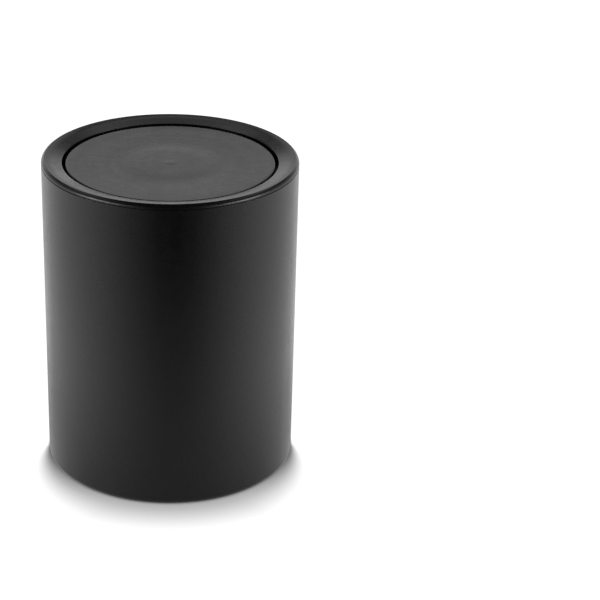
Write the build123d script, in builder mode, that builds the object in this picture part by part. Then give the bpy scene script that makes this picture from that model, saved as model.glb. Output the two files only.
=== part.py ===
"""Round countertop waste bin with a lift-off lid ring and an off-centre swing flap.

Millimetres, +Z up.  The origin is the centre of the footprint on the surface that the
bin stands on.  The flap turns about a line parallel to Y that lies to the +X side of the
bin's axis: its wide side swings down on the -X side and its narrow side rises on +X.
"""

from build123d import *
from math import asin, atan2, hypot, sqrt, tan
import os

os.makedirs("parts", exist_ok=True)

# ------------------------------------------------------------------ driving dimensions
# Bin body
rim_radius = 77.0  # outside, at the rim
wall_taper = 1.1  # the foot's radius is this much less than the rim's
bin_height = 192.3  # ground to the rim face
wall = 2.4
base_thickness = 2.6
foot_rounding = 4.5
floor_corner = 5.0  # between the inside wall and the floor
rim_break = 0.4  # rounding of both rim edges

# Stepped floor, from the foot ring inwards to the raised centre
foot_ring_inner_radius = 52.0
foot_step_width = 1.5
foot_step_height = 1.0
pedestal_foot_radius = 43.3
pedestal_slope_width = 4.8
pedestal_height = 4.0
pedestal_edge_rounding = 0.9
centre_disc_radius = 30.2
centre_disc_rise = 2.0
disc_groove_width = 0.8
disc_groove_depth = 0.5
floor_gate_radius = 2.4
floor_gate_depth = 0.4
floor_gate_nub_radius = 1.2

# Lid ring
bead_radius = 2.9  # rounding of the outer top edge
ring_land = 0.8  # straight outer face between the seam and the bead
ring_width = 12.5  # from the rim inwards to the mouth
mouth_drop = 3.1  # top of the bead to the edge of the mouth
ring_thickness = 2.2
mouth_edge_rounding = 0.5
apron_thickness = 1.8
apron_depth = 9.2  # below the edge of the mouth
skirt_clearance = 0.2  # between the skirt and the inside of the bin
skirt_thickness = 2.0
skirt_depth = 10.0  # below the seam
edge_break = 0.4  # rounding of hidden lower edges

# Flap
flap_gap = 1.8  # all round, between flap and mouth
flap_drop = 0.45  # edge of the mouth to the top of the flap
flap_thickness = 7.7
cover_thickness = 1.8
cover_edge_rounding = 0.5
cover_centre_radius = 28.0
cover_centre_rise = 0.12
cover_centre_ramp = 6.0
cover_gate_radius = 2.2
cover_gate_rise = 0.2
pan_inset = 0.3  # pan wall behind the edge of the cover
pan_floor = 1.5
pan_wall = 1.8
pan_edge_rounding = 1.4
seam_chamfer = 0.35
spigot_clearance = 0.15  # cover spigot inside the pan wall
spigot_thickness = 1.4
spigot_depth = 2.0

# Pivots
pivot_offset = 17.0  # from the bin's axis towards +X
pin_radius = 1.5
pin_tight_clearance = 0.02  # in the lid ring, where the pin stays still
pin_running_clearance = 0.05  # in the pan, which turns on the pin
pin_end_clearance = 0.3
boss_width = 8.0
boss_length = 10.6
boss_end_wall = 1.3
boss_gap = 0.3  # between the bosses and the cut-outs of the spigot
cheek_width = 14.0
cheek_below_pivot = 7.5  # low enough to stop the flap short of upright

# Closing ledge under the narrow side of the flap
ledge_reach = 4.5  # inwards from the mouth
ledge_width = 24.0
ledge_thickness = 2.0
ledge_gap = 0.2  # under the closed flap

# Counterweight
weight_thickness = 4.0
weight_width = 20.7  # from the straight side to the arc
weight_clearance = 0.35
fence_thickness = 1.8
fence_height = 3.0
fence_gap = 0.3

# ------------------------------------------------------------------ dependent sizes
base_radius = rim_radius - wall_taper
wall_lean = wall_taper / bin_height
floor_z = base_thickness
raised_floor_z = floor_z + foot_step_height
pedestal_edge_radius = pedestal_foot_radius - pedestal_slope_width
pedestal_edge_z = raised_floor_z + pedestal_height
disc_z = pedestal_edge_z + centre_disc_rise
groove_outer_radius = centre_disc_radius + disc_groove_width
floor_edge_radius = base_radius - wall + wall_lean * floor_z
rim_inner_radius = rim_radius - wall

mouth_radius = rim_radius - ring_width
bead_centre_z = bin_height + ring_land
ring_top_z = bead_centre_z + bead_radius
mouth_z = ring_top_z - mouth_drop
# The ring's face falls from the bead to the mouth along a line tangent to the bead.
face_run = rim_radius - bead_radius - mouth_radius
face_fall = bead_centre_z - mouth_z
face_slope = asin(bead_radius / hypot(face_run, face_fall)) + atan2(face_fall, face_run)
apron_outer_radius = mouth_radius + apron_thickness
apron_z = mouth_z - apron_depth
skirt_outer_radius = rim_inner_radius - skirt_clearance
skirt_inner_radius = skirt_outer_radius - skirt_thickness
skirt_z = bin_height - skirt_depth


def face_z(radius):
    """Height of the ring's sloping face at a radius."""
    return mouth_z + tan(face_slope) * (radius - mouth_radius)


flap_radius = mouth_radius - flap_gap
flap_top_z = mouth_z - flap_drop
flap_bottom_z = flap_top_z - flap_thickness
cover_under_z = flap_top_z - cover_thickness
pan_radius = flap_radius - pan_inset
pan_inner_radius = pan_radius - pan_wall
pan_floor_z = flap_bottom_z + pan_floor
spigot_outer_radius = pan_inner_radius - spigot_clearance
spigot_inner_radius = spigot_outer_radius - spigot_thickness

pivot_z = flap_top_z - flap_thickness / 2
cheek_z = pivot_z - cheek_below_pivot
pin_outer_y = sqrt(skirt_outer_radius**2 - pivot_offset**2) - pin_end_clearance
boss_inner_y = sqrt(pan_inner_radius**2 - pivot_offset**2) - boss_length
pin_inner_y = boss_inner_y + boss_end_wall + pin_end_clearance
ledge_top_z = flap_bottom_z - ledge_gap
weight_radius = spigot_inner_radius - weight_clearance
weight_chord_x = weight_radius - weight_width

# ------------------------------------------------------------------ bin body
# One moulded shell: a slightly tapered wall, a foot ring, and a floor that steps up to a
# raised centre.  The underside follows the floor at one thickness.
with BuildPart() as bin_body:
    with BuildSketch(Plane.XZ):
        with BuildLine():
            FilletPolyline(
                (0, disc_z - base_thickness),
                (groove_outer_radius, disc_z - base_thickness),
                (pedestal_edge_radius, pedestal_edge_z - base_thickness),
                (pedestal_foot_radius, raised_floor_z - base_thickness),
                (foot_ring_inner_radius - foot_step_width, foot_step_height),
                (foot_ring_inner_radius, 0),
                (base_radius, 0),
                (rim_radius, bin_height),
                (rim_inner_radius, bin_height),
                (floor_edge_radius, floor_z),
                (foot_ring_inner_radius, floor_z),
                (foot_ring_inner_radius - foot_step_width, raised_floor_z),
                (pedestal_foot_radius, raised_floor_z),
                (pedestal_edge_radius, pedestal_edge_z),
                (groove_outer_radius, disc_z),
                (groove_outer_radius, disc_z - disc_groove_depth),
                (centre_disc_radius, disc_z - disc_groove_depth),
                (centre_disc_radius, disc_z),
                (0, disc_z),
                radius=[
                    0, 0, pedestal_edge_rounding, 0, 0, 0, foot_rounding, rim_break,
                    rim_break, floor_corner, 0, 0, 0, pedestal_edge_rounding, 0, 0, 0, 0, 0,
                ],
                close=True,
            )
        make_face()
    revolve(axis=Axis.Z)
    # Moulding gate mark: a shallow ring-shaped dimple at the middle of the floor.
    with BuildSketch(Plane.XY.offset(disc_z)):
        Circle(floor_gate_radius)
        Circle(floor_gate_nub_radius, mode=Mode.SUBTRACT)
    extrude(amount=-floor_gate_depth, mode=Mode.SUBTRACT)

# ------------------------------------------------------------------ lid ring
# A cap that sits on the rim, with a skirt inside the bin, a sloping face down to the
# round mouth and a short apron.  Two cheeks between apron and skirt hold the pivot pins,
# and a ledge on the +X side carries the narrow side of the closed flap.
with BuildPart() as lid_ring:
    with BuildSketch(Plane.XY.offset(cheek_z)):
        Circle(skirt_inner_radius + skirt_thickness / 2)
        Circle(mouth_radius, mode=Mode.SUBTRACT)
        with Locations((pivot_offset, 0)):
            Rectangle(cheek_width, 2 * rim_radius, mode=Mode.INTERSECT)
    extrude(amount=ring_top_z - cheek_z)
    # The cheeks end inside the thickness of the sloping plate.
    cheek_top_shift = ring_thickness / 2
    with BuildSketch(Plane.XZ):
        with BuildLine():
            Polyline(
                (0, mouth_z - cheek_top_shift),
                (mouth_radius, mouth_z - cheek_top_shift),
                (rim_radius, face_z(rim_radius) - cheek_top_shift),
                (rim_radius, 2 * ring_top_z),
                (0, 2 * ring_top_z),
                close=True,
            )
        make_face()
    revolve(axis=Axis.Z, mode=Mode.SUBTRACT)
    with BuildSketch(Plane.XY.offset(ledge_top_z)):
        Circle(apron_outer_radius)
        Circle(mouth_radius - ledge_reach, mode=Mode.SUBTRACT)
        with Locations((mouth_radius, 0)):
            Rectangle(2 * (ledge_reach + apron_thickness), ledge_width, mode=Mode.INTERSECT)
    extrude(amount=-ledge_thickness)
    with BuildSketch(Plane.XZ):
        with BuildLine():
            FilletPolyline(
                (rim_radius, bin_height),
                (rim_radius, face_z(rim_radius)),
                (mouth_radius, mouth_z),
                (mouth_radius, apron_z),
                (apron_outer_radius, apron_z),
                (apron_outer_radius, face_z(apron_outer_radius) - ring_thickness),
                (skirt_inner_radius, face_z(skirt_inner_radius) - ring_thickness),
                (skirt_inner_radius, skirt_z),
                (skirt_outer_radius, skirt_z),
                (skirt_outer_radius, bin_height),
                radius=[
                    0, bead_radius, mouth_edge_rounding, edge_break, edge_break,
                    0, 0, edge_break, edge_break, 0,
                ],
                close=True,
            )
        make_face()
    revolve(axis=Axis.Z)
    with BuildSketch(Plane.XZ):
        with Locations((pivot_offset, pivot_z)):
            Circle(pin_radius + pin_tight_clearance)
    extrude(amount=rim_radius, both=True, mode=Mode.SUBTRACT)

# ------------------------------------------------------------------ flap cover
# The visible round plate, nearly flat, with a spigot beneath that enters the pan.
with BuildPart() as flap_cover:
    with BuildSketch(Plane.XZ):
        with BuildLine():
            FilletPolyline(
                (0, cover_under_z),
                (flap_radius, cover_under_z),
                (flap_radius, flap_top_z),
                (cover_centre_radius, flap_top_z),
                (cover_centre_radius - cover_centre_ramp, flap_top_z + cover_centre_rise),
                (0, flap_top_z + cover_centre_rise),
                radius=[0, 0, cover_edge_rounding, cover_centre_radius, cover_centre_radius, 0],
                close=True,
            )
        make_face()
    revolve(axis=Axis.Z)
    with BuildSketch(Plane.XY.offset(cover_under_z)):
        Circle(spigot_outer_radius)
        Circle(spigot_inner_radius, mode=Mode.SUBTRACT)
        with Locations((pivot_offset, 0)):
            Rectangle(boss_width + 2 * boss_gap, 2 * flap_radius, mode=Mode.SUBTRACT)
    extrude(amount=-spigot_depth)
    # Gate mark: a low round nub at the middle.
    with BuildSketch(Plane.XY.offset(flap_top_z + cover_centre_rise)):
        Circle(cover_gate_radius)
    extrude(amount=cover_gate_rise, taper=45)

# ------------------------------------------------------------------ flap pan
# The lower shell: a shallow dish with two bearing bosses and a fence for the weight.
with BuildPart() as flap_pan:
    with BuildSketch(Plane.XZ):
        with BuildLine():
            FilletPolyline(
                (0, flap_bottom_z),
                (pan_radius, flap_bottom_z),
                (pan_radius, cover_under_z - seam_chamfer),
                (pan_radius - seam_chamfer, cover_under_z),
                (pan_inner_radius, cover_under_z),
                (pan_inner_radius, pan_floor_z),
                (0, pan_floor_z),
                radius=[0, pan_edge_rounding, 0, 0, 0, 0, 0],
                close=True,
            )
        make_face()
    revolve(axis=Axis.Z)
    with BuildSketch(Plane.XY.offset(pan_floor_z)):
        Circle(pan_inner_radius + pan_wall / 2)
        with Locations((pivot_offset, 0)):
            Rectangle(boss_width, 2 * pan_radius, mode=Mode.INTERSECT)
            Rectangle(boss_width, 2 * boss_inner_y, mode=Mode.SUBTRACT)
    extrude(amount=cover_under_z - pan_floor_z)
    with BuildSketch(Plane.XY.offset(pan_floor_z)):
        with Locations((weight_chord_x - fence_gap - fence_thickness / 2, 0)):
            Rectangle(fence_thickness, 2 * spigot_inner_radius)
        Circle(weight_radius, mode=Mode.INTERSECT)
    extrude(amount=fence_height)
    bore_start_y = boss_inner_y + boss_end_wall
    for side in (-1, 1):
        with BuildSketch(Plane.XZ.offset(side * bore_start_y)):
            with Locations((pivot_offset, pivot_z)):
                Circle(pin_radius + pin_running_clearance)
        extrude(amount=side * (pan_radius - bore_start_y), mode=Mode.SUBTRACT)

# ------------------------------------------------------------------ counterweight
# A steel segment on the narrow side of the flap, which swings the flap shut.
with BuildPart() as flap_counterweight:
    with BuildSketch(Plane.XY.offset(pan_floor_z)):
        Circle(weight_radius)
        with Locations((weight_chord_x + rim_radius, 0)):
            Rectangle(2 * rim_radius, 2 * rim_radius, mode=Mode.INTERSECT)
    extrude(amount=weight_thickness)

# ------------------------------------------------------------------ pivot pins
# Two plain steel pins through the ring's skirt, cheek and apron into the pan's bosses.
pin_length = pin_outer_y - pin_inner_y
with BuildPart() as pivot_pin_front:
    with BuildSketch(Plane.XZ.offset(pin_inner_y)):
        with Locations((pivot_offset, pivot_z)):
            Circle(pin_radius)
    extrude(amount=pin_length)
with BuildPart() as pivot_pin_rear:
    with BuildSketch(Plane.XZ.offset(-pin_inner_y)):
        with Locations((pivot_offset, pivot_z)):
            Circle(pin_radius)
    extrude(amount=-pin_length)

# ------------------------------------------------------------------ labels and files
named_parts = {
    "bin_body": bin_body,
    "lid_ring": lid_ring,
    "flap_cover": flap_cover,
    "flap_pan": flap_pan,
    "flap_counterweight": flap_counterweight,
    "pivot_pin_front": pivot_pin_front,
    "pivot_pin_rear": pivot_pin_rear,
}
for node_name, builder in named_parts.items():
    builder.part.label = node_name
    export_step(builder.part, f"parts/{node_name}.step")
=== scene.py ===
"""Round countertop waste bin with a swing flap: fine shells, moulded finishes and a studio.

Metres, +Z up, in the frame of the CAD part. The bin stands on z = 0 round the Z axis. The
flap turns about a line parallel to Y on the +X side of that axis. The mouldings are satin
black plastic, inside and out. Heights and radii start from the CAD boxes; the rest are the
mouldings' own sizes.
"""

from __future__ import annotations

import logging
import math
from dataclasses import dataclass
from enum import Enum
from typing import Any

import bmesh
import bpy
from mathutils import Matrix, Vector

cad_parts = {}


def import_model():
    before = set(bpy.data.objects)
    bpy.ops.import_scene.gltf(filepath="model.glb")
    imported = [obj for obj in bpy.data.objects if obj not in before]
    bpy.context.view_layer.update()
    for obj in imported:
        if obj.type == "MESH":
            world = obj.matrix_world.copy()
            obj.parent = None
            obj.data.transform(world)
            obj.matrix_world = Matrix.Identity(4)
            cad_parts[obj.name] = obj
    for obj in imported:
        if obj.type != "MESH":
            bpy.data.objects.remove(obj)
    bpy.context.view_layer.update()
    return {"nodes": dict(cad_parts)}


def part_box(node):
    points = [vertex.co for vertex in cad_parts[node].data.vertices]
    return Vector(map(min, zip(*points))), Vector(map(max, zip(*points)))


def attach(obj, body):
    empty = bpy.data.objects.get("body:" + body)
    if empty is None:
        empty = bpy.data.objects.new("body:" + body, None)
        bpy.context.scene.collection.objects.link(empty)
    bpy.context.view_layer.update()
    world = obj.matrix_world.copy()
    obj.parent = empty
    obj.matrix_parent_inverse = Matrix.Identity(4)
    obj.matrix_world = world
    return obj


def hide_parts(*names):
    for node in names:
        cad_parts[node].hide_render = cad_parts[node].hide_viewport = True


LOG = logging.getLogger("swing_bin")
MM = 0.001
FULL_TURN = 2 * math.pi
TURN_STEPS = 240
ARC_STEPS = 7
ROD_STEPS = 48
SKIN = 0.02 * MM  # keeps two joined solids from sharing a face
CREASE = math.radians(32)
Socket = bpy.types.NodeSocket
Ramp = tuple[float, float, float, float]  # where a change starts and ends, and its values there


# --------------------------------------------------------------------- mesh making
class Fit(Enum):
    """How one solid is worked against another."""

    JOIN = "UNION"
    CUT = "DIFFERENCE"
    TRIM = "INTERSECT"


@dataclass(frozen=True)
class Corner:
    """A corner of a turned profile: radius from the axis, height, and rounding.

    The arc of a rounding has to fit the edges beside it. Arcs that overlap fold the
    profile over itself, and the Boolean solver then takes the solid for inside out.
    """

    radius: float
    height: float
    rounding: float = 0.0

    @property
    def point(self) -> Vector:
        """The corner in the XZ plane."""
        return Vector((self.radius, 0, self.height))


class Turning:
    """A solid turned round the Z axis from one or more runs of corners."""

    def __init__(self) -> None:
        """Starts an empty mesh."""
        self.mesh = bmesh.new()

    def _trace(self, run: list[Corner]) -> list[bmesh.types.BMVert]:
        """Draws a run in the XZ plane, with its rounded corners as arcs.

        Args:
            run: the corners in order; the first and the last are not rounded.

        Returns:
            The vertices that were drawn.
        """
        known = set(self.mesh.verts)
        tip = self.mesh.verts.new(run[0].point)
        for before, here, after in zip(run, run[1:], [*run[2:], None]):
            tip = bmesh.ops.extrude_vert_indiv(self.mesh, verts=[tip])["verts"][0]
            if after is None or not here.rounding:
                tip.co = here.point
                continue
            back = (before.point - here.point).normalized()
            ahead = (after.point - here.point).normalized()
            half = back.angle(ahead) / 2
            tip.co = here.point + back * (here.rounding / math.tan(half))
            centre = here.point + (back + ahead).normalized() * (here.rounding / math.sin(half))
            last = here.point + ahead * (here.rounding / math.tan(half))
            tip = bmesh.ops.spin(
                self.mesh, geom=[tip], cent=centre, axis=(tip.co - centre).cross(last - centre),
                angle=math.pi - 2 * half, steps=ARC_STEPS,
            )["geom_last"][0]
        return [vertex for vertex in self.mesh.verts if vertex not in known]

    def turn(self, run: list[Corner]) -> Turning:
        """Turns a run of corners once round the axis.

        Args:
            run: the corners in order, from one seam to the other.

        Returns:
            This turning, so that runs can be chained.
        """
        drawn = self._trace(run)
        edges = dict.fromkeys(edge for vertex in drawn for edge in vertex.link_edges)  # each edge once
        bmesh.ops.spin(
            self.mesh, geom=[*drawn, *edges], cent=(0, 0, 0), axis=(0, 0, 1),
            angle=FULL_TURN, steps=TURN_STEPS, use_merge=True,
        )
        return self

    def piece(self, name: str) -> bpy.types.Object:
        """Closes the poles and the seams between runs, and makes the object.

        Args:
            name: the name of the new object.

        Returns:
            The object, at the origin.
        """
        bmesh.ops.remove_doubles(self.mesh, verts=self.mesh.verts, dist=SKIN / 10)
        return solid_from(self.mesh, name)


def solid_from(mesh: bmesh.types.BMesh, name: str) -> bpy.types.Object:
    """Turns a closed bmesh outwards and makes an object of it.

    Args:
        mesh: the finished bmesh, which is freed.
        name: the name of the object.

    Returns:
        The linked object.
    """
    bmesh.ops.recalc_face_normals(mesh, faces=mesh.faces)
    data = bpy.data.meshes.new(name)
    mesh.to_mesh(data)
    mesh.free()
    piece = bpy.data.objects.new(name, data)
    bpy.context.scene.collection.objects.link(piece)
    return piece


def block(low: Vector, high: Vector, mirrored: bool = False) -> bpy.types.Object:
    """Makes a box, or a pair of boxes on both sides of the XZ plane.

    Args:
        low: its lowest corner.
        high: its highest corner.
        mirrored: True for a second box at the opposite Y.

    Returns:
        The object.
    """
    mesh = bmesh.new()
    size = high - low
    bmesh.ops.create_cube(mesh, size=1)
    bmesh.ops.scale(mesh, vec=size, verts=mesh.verts)
    bmesh.ops.translate(mesh, vec=low + size / 2, verts=mesh.verts)
    if mirrored:
        twin = bmesh.ops.duplicate(mesh, geom=mesh.verts[:] + mesh.edges[:] + mesh.faces[:])["geom"]
        corners = [item for item in twin if isinstance(item, bmesh.types.BMVert)]
        bmesh.ops.rotate(
            mesh, cent=(low.x + size.x / 2, 0, 0), matrix=Matrix.Rotation(math.pi, 3, "Z"), verts=corners
        )
    return solid_from(mesh, "tool_block")


def rod(radius: float, start: Vector, end: Vector, chamfer: float = 0.0) -> bpy.types.Object:
    """Makes a round rod between two points on a line parallel to Y.

    Args:
        radius: its radius.
        start: the middle of one end.
        end: the middle of the other end.
        chamfer: the chamfer of both ends.

    Returns:
        The object.
    """
    mesh = bmesh.new()
    bmesh.ops.create_cone(
        mesh, cap_ends=True, segments=ROD_STEPS, radius1=radius, radius2=radius, depth=(end - start).length
    )
    if chamfer:
        rims = [edge for edge in mesh.edges if any(len(face.verts) == ROD_STEPS for face in edge.link_faces)]
        bmesh.ops.bevel(
            mesh, geom=rims, offset=chamfer, affect="EDGES", segments=2, profile=0.5, material=-1
        )
    bmesh.ops.rotate(mesh, cent=(0, 0, 0), matrix=Matrix.Rotation(math.pi / 2, 3, "X"), verts=mesh.verts)
    bmesh.ops.translate(mesh, vec=(start + end) / 2, verts=mesh.verts)
    return solid_from(mesh, "tool_rod")


def work(piece: bpy.types.Object, tool: bpy.types.Object, fit: Fit) -> None:
    """Joins, cuts or trims a piece with a tool, which is used up, and removes slivers.

    Args:
        piece: the solid that is kept.
        tool: the solid that works on it.
        fit: what the tool does.
    """
    change = piece.modifiers.new(fit.name.lower(), "BOOLEAN")
    change.object, change.operation, change.solver = tool, fit.value, "EXACT"
    shaped = piece.evaluated_get(bpy.context.evaluated_depsgraph_get())
    old, piece.data = piece.data, bpy.data.meshes.new_from_object(shaped)
    piece.modifiers.clear()
    bpy.data.meshes.remove(old)
    bpy.data.meshes.remove(tool.data)
    mesh = bmesh.new()
    mesh.from_mesh(piece.data)
    bmesh.ops.dissolve_degenerate(mesh, dist=SKIN / 2, edges=mesh.edges)
    mesh.to_mesh(piece.data)
    mesh.free()


def smooth(piece: bpy.types.Object) -> None:
    """Shades a piece smooth between its creases, with flat faces kept flat.

    Args:
        piece: the finished solid.
    """
    piece.data.shade_smooth()
    piece.data.set_sharp_from_angle(angle=CREASE)
    weighting = piece.modifiers.new("even_normals", "WEIGHTED_NORMAL")
    weighting.keep_sharp = True


def dress(piece: bpy.types.Object, finish: bpy.types.Material) -> None:
    """Gives a piece its finish, in place of any that it came with."""
    piece.data.materials.clear()
    piece.data.materials.append(finish)


def seat(piece: bpy.types.Object, body: str, nodes: tuple[str, ...]) -> bpy.types.Object:
    """Hangs a finished piece on its CAD body in place of the CAD nodes.

    Args:
        piece: the finished piece.
        body: the CAD body that carries it.
        nodes: the CAD nodes that it stands for.

    Returns:
        The same piece.
    """
    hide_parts(*nodes)
    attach(piece, body)
    LOG.info("%s: %d faces on body %s", piece.name, len(piece.data.polygons), body)
    return piece


# --------------------------------------------------------------------- shader wiring
class Wiring:
    """Adds nodes to one shader, world or group tree and joins them."""

    def __init__(self, tree: bpy.types.NodeTree) -> None:
        """Takes the tree and empties it."""
        self.tree = tree
        tree.nodes.clear()

    def node(self, kind: str, inputs: dict[str | int, Any] | None = None, **options: Any) -> bpy.types.Node:
        """Adds a node.

        Args:
            kind: the node's type without the leading ShaderNode.
            inputs: values or sockets to feed in, by input name or place.
            options: the node's own settings.

        Returns:
            The new node.
        """
        made = self.tree.nodes.new(kind if kind.startswith("Node") else "ShaderNode" + kind)
        for option, value in options.items():
            setattr(made, option, value)
        for name, value in (inputs or {}).items():
            if isinstance(value, Socket):
                self.tree.links.new(value, made.inputs[name])
            else:
                made.inputs[name].default_value = value
        return made

    def math(self, operation: str, *values: Any) -> Socket:
        """Adds a Math node.

        Args:
            operation: what it does.
            values: numbers or sockets, in the order of its inputs.

        Returns:
            The result's socket.
        """
        return self.node("Math", dict(enumerate(values)), operation=operation).outputs[0]

    def pick(self, mask: Socket, plain: Any, chosen: Any) -> Socket:
        """Gives one number where a mask is 0, and another where it is 1.

        Args:
            mask: the mask.
            plain: the number or socket where the mask is 0.
            chosen: the number or socket where it is 1.

        Returns:
            The result's socket.
        """
        return self.math("ADD", self.math("MULTIPLY", mask, self.math("SUBTRACT", chosen, plain)), plain)

    def vector(self, operation: str, *values: Any) -> Socket:
        """Adds a Vector Math node.

        Args:
            operation: what it does.
            values: vectors or sockets, in the order of its inputs.

        Returns:
            The result's socket: a number for a length, and otherwise a vector.
        """
        made = self.node("VectorMath", dict(enumerate(values)), operation=operation)
        return made.outputs["Value" if operation == "LENGTH" else "Vector"]

    def scaled(self, vector: Socket, factor: float) -> Socket:
        """Scales a vector by a factor."""
        return self.node("VectorMath", {0: vector, "Scale": factor}, operation="SCALE").outputs[0]

    def split(self, vector: Socket) -> bpy.types.bpy_prop_collection:
        """Splits a vector into sockets that are called X, Y and Z."""
        return self.node("SeparateXYZ", {0: vector}).outputs

    def joined(self, **parts: Any) -> Socket:
        """Makes a vector from the parts X, Y and Z that are given, with 0 for the rest."""
        return self.node("CombineXYZ", parts).outputs[0]

    def noise(self, place: Socket, scale: Any, detail: float, **shape: float) -> Socket:
        """Adds a noise pattern.

        Args:
            place: the socket of where it is read.
            scale: how fine it is, as a number or a socket.
            detail: how many finer layers it has.
            shape: other inputs of the node, by name.

        Returns:
            The socket of its numbers, which are mostly near 0.5.
        """
        inputs = {"Vector": place, "Scale": scale, "Detail": detail, **shape}
        return self.node("TexNoise", inputs).outputs["Fac"]

    def span(
        self, value: Any, low: float, high: float, to_low: Any = 0.0, to_high: Any = 1.0, soft: bool = True
    ) -> Socket:
        """Maps a number from one range to another, held at both ends.

        Args:
            value: the number's socket.
            low: where the range starts.
            high: where it ends.
            to_low: what the start becomes.
            to_high: what the end becomes.
            soft: True to ease in and out.

        Returns:
            The mapped number's socket.
        """
        ends = {"From Min": low, "From Max": high, "To Min": to_low, "To Max": to_high}
        kind = "SMOOTHSTEP" if soft else "LINEAR"
        return self.node("MapRange", {"Value": value, **ends}, interpolation_type=kind).outputs["Result"]

    def blend(self, share: Any, first: Any, second: Any) -> Socket:
        """Mixes two colours.

        Args:
            share: the second colour's share, as a number or a socket.
            first: the colour at a share of 0.
            second: the colour at a share of 1.

        Returns:
            The mixed colour's socket.
        """
        mix = self.node("Mix", data_type="RGBA")
        for name, value in (("Factor_Float", share), ("A_Color", first), ("B_Color", second)):
            socket = next(entry for entry in mix.inputs if entry.identifier == name)
            if isinstance(value, Socket):
                self.tree.links.new(value, socket)
            else:
                socket.default_value = value
        return next(entry for entry in mix.outputs if entry.identifier == "Result_Color")


    def effect(
        self, group: bpy.types.NodeTree, place: Socket, **sizes: float
    ) -> bpy.types.bpy_prop_collection:
        """Places a shared effect.

        Args:
            group: its node group.
            place: the socket of where it is read.
            sizes: its own inputs, by name.

        Returns:
            Its outputs, by name.
        """
        return self.node("Group", {"Place": place, **sizes}, node_tree=group).outputs


class Effect:
    """A shader node group that several finishes share, with named inputs and outputs."""

    def __init__(self, name: str, inputs: dict[str, float | None], outputs: tuple[str, ...]) -> None:
        """Makes the empty group.

        Args:
            name: the group's name.
            inputs: default of each number, or None for a vector.
            outputs: the names of the masks and heights that it gives.
        """
        self.tree = bpy.data.node_groups.new(name, "ShaderNodeTree")
        for entry, default in inputs.items():
            kind = "NodeSocketVector" if default is None else "NodeSocketFloat"
            socket = self.tree.interface.new_socket(name=entry, in_out="INPUT", socket_type=kind)
            if default is not None:
                socket.default_value = default
        for entry in outputs:
            self.tree.interface.new_socket(name=entry, in_out="OUTPUT", socket_type="NodeSocketFloat")
        self.wiring = Wiring(self.tree)
        self.given = self.wiring.node("NodeGroupInput").outputs
        self.result = self.wiring.node("NodeGroupOutput")

    def give(self, name: str, value: Socket) -> None:
        """Joins a value to one of the group's outputs."""
        self.tree.links.new(value, self.result.inputs[name])


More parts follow.
